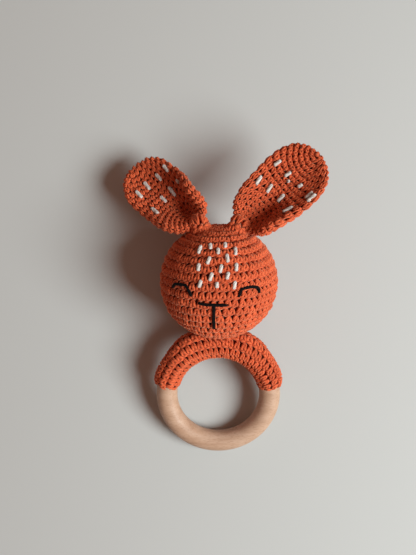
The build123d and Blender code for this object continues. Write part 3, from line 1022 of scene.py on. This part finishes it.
left_speckles = [
    (-7.7, 37.4, -6, 6.0), (-1.5, 37.8, -11, 6.0), (5.7, 35.9, -6, 5.5), (11.2, 34.6, -9, 5.3),
    (-9.5, 23.8, -6, 6.6), (-1.3, 26.2, -3, 5.4), (5.0, 26.0, -7, 6.0), (11.0, 23.5, -9, 3.4),
]
right_speckles = [
    (-11.0, 32.6, -8, 5.1), (-3.4, 33.0, -11, 4.6), (-0.7, 31.0, -3, 2.6), (5.1, 34.0, -14, 3.6),
    (12.1, 34.4, 2, 5.6), (14.0, 34.4, 2, 6.0), (-11.6, 20.2, 10, 5.7), (-4.7, 21.7, 12, 5.6),
    (2.7, 23.1, -1, 5.6), (11.2, 22.2, -7, 6.0),
]
left_ear = make_ear(
    "left_ear", left_speckles, seed=37,
    side=-1, spread=50.5, rise=-26, roll=8, cup=0.022, width=0.029, base=0.0296, fold=0.98, bow=-0.0002,
    hollow=(0.0080, (0.0030, 0.0150), (0.0045, 0.0100)),
)
right_ear = make_ear(
    "right_ear", right_speckles, seed=41,
    side=1, spread=50.5, rise=8, roll=-10, cup=0.028, width=0.0335, base=0.0315, fold=0.6, bow=0.0018,
    hollow=(0.0048, (0.0022, 0.0125), (0.0050, 0.0085)),
)


# ---------------------------------------------------------------------------
# Seams: whip stitches in the same yarn hold the head to the sleeve, each ear to the head, and
# lace the sleeve shut along the back.
# ---------------------------------------------------------------------------
NECK_LENGTH = 0.021
NECK_WIDTH = 0.0125
NECK_LIFT = 0.0003
NECK_HEIGHT = 0.0010
NECK_STITCHES = 22
# Points of a neck stitch: turn along the seam, share from the sleeve up to the head, lift
NECK_WHIP = [(-0.13, -0.4, 0), (-0.05, 0.1, NECK_LIFT), (0.05, 0.7, NECK_LIFT), (0.13, 1.1, 0)]
EAR_SEAM_STITCHES = 9
EAR_SEAM_DEPTH = 0.0036
# Points of an ear stitch: turn along the seam, reach from the root's line, depth into the head
EAR_WHIP = [
    (-0.15, 0.0056, 0.0012), (-0.15, 0.0050, -0.0006), (0.15, 0.0041, -0.0014),
    (0.15, 0.0030, -0.0012),
]
LACING_STITCHES = 19
# Points of a lace: metres along the sleeve, turn round the bar from the slit, lift
LACE = [
    (-0.0011, -0.26, -0.0012), (-0.0005, -0.15, 0.0001), (0.0005, 0.15, 0.0001),
    (0.0011, 0.26, -0.0012),
]
SEAM_YARN = 0.0006


def whip(seam, route, up):
    """One whip stitch."""
    add_strand(seam, route, SEAM_YARN, sides=7, cuts=6, taper=0.2, up=up)


def neck_point(turn, share):
    """A point on the neck seam: turn round the oval, share from the sleeve up to the head."""
    spare = NECK_LIFT * (1 - share)
    x = (NECK_LENGTH / 2 + spare) * math.cos(turn)
    z = (NECK_WIDTH / 2 + spare) * math.sin(turn)
    hub = RING_RADIUS + math.sqrt((SLEEVE_RADIUS + NECK_LIFT + NECK_HEIGHT * share) ** 2 - z**2)
    return toy @ Vector((x, math.sqrt(hub**2 - x**2), z))


neck = new_threadwork()
neck_middle = toy @ (head_in_toy + Vector((0, -HEAD_ROUND, 0)))
for number in range(NECK_STITCHES):
    turn = number / NECK_STITCHES * math.tau
    out = (neck_point(turn, 0) - neck_middle).normalized()
    route = [neck_point(turn + off, share) + out * lift for off, share, lift in NECK_WHIP]
    whip(neck, route, up=Vector((0, 0, 1)))
finish_piece("neck_whip_stitches", neck, orange_yarn, "neck", ["neck_seam"])

for name, ear in (("left_ear", left_ear), ("right_ear", right_ear)):
    seam = new_threadwork()
    foot = ear.root + ear.inward * EAR_SEAM_DEPTH
    side = ear.inward.orthogonal().normalized()
    for number in range(EAR_SEAM_STITCHES):
        turns = [number / EAR_SEAM_STITCHES * math.tau + off for off, _, _ in EAR_WHIP]
        outs = [side * math.cos(turn) + ear.inward.cross(side) * math.sin(turn) for turn in turns]
        route = [
            foot + out * reach + ear.inward * depth
            for out, (_, reach, depth) in zip(outs, EAR_WHIP)
        ]
        whip(seam, route, up=outs[0])
    finish_piece(f"{name}_whip_stitches", seam, orange_yarn, "head", [f"{name}_seam"])

lacing = new_threadwork()
for number in range(LACING_STITCHES):
    start = ((number + 0.5) / LACING_STITCHES * 2 - 1) * SLEEVE_STRAIGHT
    whip(lacing, [sleeve_point(start + off, turn, lift) for off, turn, lift in LACE], up=-ring_axis)
finish_piece("sleeve_lacing", lacing, orange_yarn, "sleeve", ["sleeve_seam"])


# ---------------------------------------------------------------------------
# Floor, light and camera: a pale table top seen straight from above, in soft light from a
# window on the right and a weak warm light from the room.
# ---------------------------------------------------------------------------
FLOOR_COLOUR = (0.505, 0.516, 0.505)
FLOOR_HALF_SIZE = 1.5
FADE_START = 0.2
FADE_END = 0.55
ROOM_COLOUR = (0.59, 0.59, 0.575)
FILL_COLOUR = (1.0, 0.53, 0.38)
FILL_STRENGTH = 0.21
WINDOW_PLACE = Vector((0.77, -0.235, 0.80))
WINDOW_TARGET = Vector((0, 0, 0.02))
WINDOW_SIZE = 0.64
WINDOW_POWER = 17.8
WINDOW_COLOUR = (0.94, 1.01, 1.01)
CAMERA_HEIGHT = 0.4
CAMERA_OFFSET = Vector((-0.00543, 0.0612))
LENS = 63.6


def seen_rays(tree):
    """1 for the rays that see the room, straight or by way of metal or glass, and 0 for its light."""
    rays = add_node(tree, "ShaderNodeLightPath").outputs
    seen = calculate(tree, "ADD", rays["Is Camera Ray"], rays["Is Glossy Ray"])
    return calculate(tree, "ADD", seen, rays["Is Transmission Ray"])


floor_mesh = bmesh.new()
bmesh.ops.create_grid(floor_mesh, x_segments=1, y_segments=1, size=FLOOR_HALF_SIZE)
floor_material, floor_tree, floor_shader = new_material("table_top")
floor_shader.inputs["Base Color"].default_value = (*FLOOR_COLOUR, 1)
floor_shader.inputs["Roughness"].default_value = 0.9
# Away from the toy the table fades into the pale room, to the eye but not for the light
floor_place = own_place(floor_tree)
floor_reach = add_node(floor_tree, "ShaderNodeVectorMath", {0: floor_place}, operation="LENGTH")
floor_fade = remap(floor_tree, floor_reach.outputs["Value"], FADE_START, FADE_END, curve="SMOOTHSTEP")
floor_seen = calculate(floor_tree, "MULTIPLY", floor_fade, seen_rays(floor_tree))
room_glow = add_node(floor_tree, "ShaderNodeEmission", {"Color": (*ROOM_COLOUR, 1), "Strength": 1.0})
floor_mix = add_node(floor_tree, "ShaderNodeMixShader", {
    0: floor_seen, 1: floor_shader.outputs["BSDF"], 2: room_glow.outputs["Emission"],
})
plug(floor_tree, floor_tree.nodes["Material Output"].inputs["Surface"], floor_mix.outputs["Shader"])
floor_data = bpy.data.meshes.new("table")
floor_mesh.to_mesh(floor_data)
floor_mesh.free()
floor = bpy.data.objects.new("table", floor_data)
floor_data.materials.append(floor_material)
bpy.context.scene.collection.objects.link(floor)

window_light = bpy.data.lights.new("window", "AREA")
window_light.shape = "DISK"
window_light.size = WINDOW_SIZE
window_light.energy = WINDOW_POWER
window_light.color = WINDOW_COLOUR
window = bpy.data.objects.new("window", window_light)
bpy.context.scene.collection.objects.link(window)
window.location = WINDOW_PLACE
window.rotation_euler = (WINDOW_TARGET - WINDOW_PLACE).to_track_quat("-Z", "Y").to_euler()

world = bpy.data.worlds.new("room")
bpy.context.scene.world = world
world.use_nodes = True
room_tree = world.node_tree
fill_light = room_tree.nodes["Background"]
fill_light.inputs["Color"].default_value = (*FILL_COLOUR, 1)
fill_light.inputs["Strength"].default_value = FILL_STRENGTH
room_seen = add_node(room_tree, "ShaderNodeBackground", {"Color": (*ROOM_COLOUR, 1), "Strength": 1.0})
room_mix = add_node(room_tree, "ShaderNodeMixShader", {
    0: seen_rays(room_tree), 1: fill_light.outputs["Background"], 2: room_seen.outputs["Background"],
})
plug(room_tree, room_tree.nodes["World Output"].inputs["Surface"], room_mix.outputs["Shader"])

camera_data = bpy.data.cameras.new("camera")
camera_data.sensor_fit = "HORIZONTAL"
camera_data.sensor_width = 36
camera_data.lens = LENS
camera = bpy.data.objects.new("camera", camera_data)
bpy.context.scene.collection.objects.link(camera)
camera.location = (ring_centre.x + CAMERA_OFFSET.x, ring_centre.y + CAMERA_OFFSET.y, CAMERA_HEIGHT)
bpy.context.scene.camera = camera
bpy.context.scene.view_settings.view_transform = "Standard"
